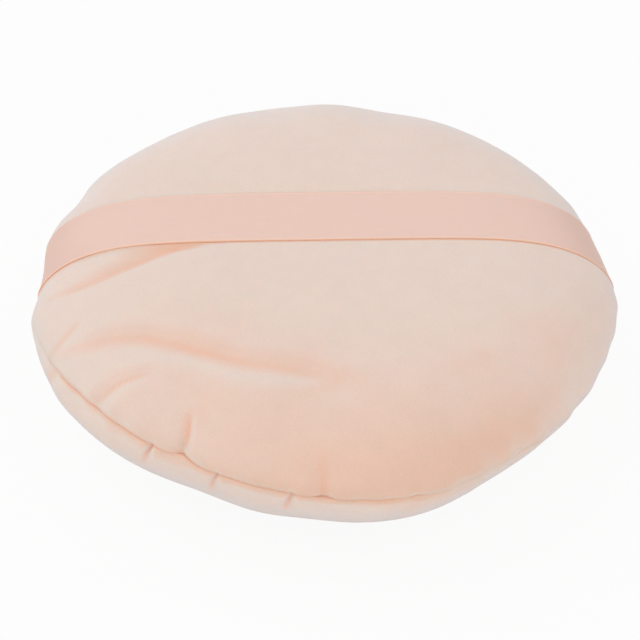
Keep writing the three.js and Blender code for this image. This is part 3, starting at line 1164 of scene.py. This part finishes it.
def stitch_row_tree():
    """A row of stitches: at each step of a path, an arched length of thread that lies along the path's own
    direction, stands up on its own side and leans the other way from the last."""
    tree = bpy.data.node_groups.new("stitch_row", "GeometryNodeTree")
    add_sockets(tree, "INPUT", "NodeSocketGeometry", "Path")
    measures = ("Pitch", "Stitch Length", "Rise", "Thread", "Lean")
    inlets = add_sockets(tree, "INPUT", "NodeSocketFloat", *measures)
    inlets |= add_sockets(tree, "INPUT", "NodeSocketMaterial", "Material")
    add_sockets(tree, "OUTPUT", "NodeSocketGeometry", "Stitches")

    given = add_node(tree, "NodeGroupInput").outputs
    path = add_node(tree, "GeometryNodeMeshToCurve", {"Mesh": given["Path"]})
    pitch = {"Curve": path, "Length": given["Pitch"]}
    stepped = add_node(tree, "GeometryNodeResampleCurve", pitch, mode="LENGTH")
    sunk = reckon(tree, "MULTIPLY", given["Rise"], -1.0)
    arch_points = {"Resolution": arch_steps}
    for name, share, level in (
        ("Start", -0.5, sunk),
        ("Start Handle", -arch_handle, given["Rise"]),
        ("End Handle", arch_handle, given["Rise"]),
        ("End", 0.5, sunk),
    ):
        reach = reckon(tree, "MULTIPLY", given["Stitch Length"], share)
        arch_points[name] = add_node(tree, "ShaderNodeCombineXYZ", {"X": reach, "Z": level})
    arch = add_node(tree, "GeometryNodeCurvePrimitiveBezierSegment", arch_points)
    half_thread = reckon(tree, "MULTIPLY", given["Thread"], 0.5)
    round_thread = add_node(tree, "GeometryNodeCurvePrimitiveCircle", {
        "Resolution": thread_facets, "Radius": half_thread})
    stitch = add_node(tree, "GeometryNodeCurveToMesh", {
        "Curve": arch, "Profile Curve": round_thread, "Fill Caps": True})
    along, outward = (
        add_node(tree, "GeometryNodeInputNamedAttribute", {"Name": name}, data_type="FLOAT_VECTOR")
        for name in ("along", "outward")
    )
    laid = add_node(tree, "FunctionNodeAlignRotationToVector", {"Vector": along}, axis="X")
    stood = add_node(tree, "FunctionNodeAlignRotationToVector", {
        "Rotation": laid, "Vector": outward}, axis="Z", pivot_axis="X")
    odd = reckon(tree, "MODULO", add_node(tree, "GeometryNodeInputIndex"), 2.0)
    turn_about = reckon(tree, "SUBTRACT", odd, 0.5)
    twice_lean = reckon(tree, "MULTIPLY", given["Lean"], 2.0)
    lean = add_node(tree, "FunctionNodeAxisAngleToRotation", {
        "Axis": (0, 0, 1), "Angle": reckon(tree, "MULTIPLY", turn_about, twice_lean)})
    leaning = add_node(tree, "FunctionNodeRotateRotation", {
        "Rotation": stood, "Rotate By": lean}, rotation_space="LOCAL")
    row = add_node(tree, "GeometryNodeInstanceOnPoints", {
        "Points": stepped, "Instance": stitch, "Rotation": leaning})
    real = add_node(tree, "GeometryNodeRealizeInstances", {"Geometry": row})
    smooth = add_node(tree, "GeometryNodeSetShadeSmooth", {"Geometry": real})
    finish = add_node(tree, "GeometryNodeSetMaterial", {"Geometry": smooth, "Material": given["Material"]})
    add_node(tree, "NodeGroupOutput", {"Stitches": finish})
    return tree, inlets


stitch_row, stitch_inlets = stitch_row_tree()


def sew(name, node, places, along, outward, pitch, length, rise, lean=0.0):
    """Sews a row of stitches along a path and lets it stand for a thread of the frame. The two directions are
    given for each place or for all."""
    path = new_mesh(name, places, [(i, i + 1) for i in range(len(places) - 1)], [])
    for label, vectors in (("along", along), ("outward", outward)):
        attribute = path.attributes.new(label, "FLOAT_VECTOR", "POINT")
        vectors = np.broadcast_to(vectors, places.shape).astype(np.float32)
        attribute.data.foreach_set("vector", vectors.ravel())
    row = add_object(name, path)
    stitches = row.modifiers.new("stitches", "NODES")
    stitches.node_group = stitch_row
    values = {"Pitch": pitch, "Stitch Length": length, "Rise": rise, "Thread": thread_size, "Lean": lean}
    for label, value in {**values, "Material": thread}.items():
        stitches[stitch_inlets[label]] = value
    apply_modifiers(row)
    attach(row, "pad")
    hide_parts(node)


def round_path(turn, circle, lift):
    """Places on a circle that follows the rim, by angle, at a height above the seam."""
    radius = circle / pad_radius * plan_radius(turn)
    return from_polar(radius, turn, seam_level(turn) + lift)


half_gap = 0.5 * turning_gap / pad_radius
seam_turn = back_bearing + half_gap + np.linspace(0, 2 * math.pi - 2 * half_gap, seam_steps)
for name, side in (("needle_thread", 1), ("bobbin_thread", -1)):
    on_cloth = side * (0.5 * gap_at(seam_turn) + cloth_thickness)
    row_places = round_path(seam_turn, stitch_circle, on_cloth)
    sew(name + "_stitches", name, row_places, np.gradient(row_places, axis=0), (0, 0, side), stitch_pitch,
        stitch_length, thread_size)

# Closing stitches
# Once the puff is filled, the gap at the back is closed by hand with a ladder stitch: short bars of thread
# that cross from one folded edge to the other and draw them together.
ladder_pitch, closing_steps = 4 * mm, 200
ladder_bar = 1.7 * mm
ladder_lean = math.radians(14)
ladder_sunk = 0.3 * back_groove
closing_turn = back_bearing + np.linspace(-half_gap, half_gap, closing_steps)
closing_places = round_path(closing_turn, pad_radius - ladder_sunk, 0.0)
closing_outward = closing_places * (1, 1, 0)
sew("closing_stitches", "closing_thread", closing_places, (0, 0, 1), closing_outward, ladder_pitch,
    ladder_bar, 0.5 * thread_size, ladder_lean)

# Ribbon tacks
# A short zigzag at each side holds the end of the ribbon to the raw edges before the panels are sewn.
tack_length = 9 * mm
tack_width = 1.2 * mm
tack_step = 0.75 * mm
tack_path_steps = 40
tack_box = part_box("ribbon_tack_right")
tack_circle = math.hypot(0.5 * (tack_box[0].x + tack_box[1].x), ribbon_middle)
tack_stitch = math.hypot(tack_width, tack_step)
for name, bearing in (("ribbon_tack_left", 180 - ribbon_bearing), ("ribbon_tack_right", ribbon_bearing)):
    tack_spread = 0.5 * tack_length / tack_circle
    tack_turn = math.radians(bearing) + np.linspace(-tack_spread, tack_spread, tack_path_steps)
    tack_places = round_path(tack_turn, tack_circle, 0.5 * gap_at(tack_turn) + cloth_thickness)
    sew(name + "_stitches", name, tack_places, np.gradient(tack_places, axis=0), (0, 0, 1), tack_step,
        tack_stitch, 0.5 * thread_size, math.atan2(tack_width, tack_step))
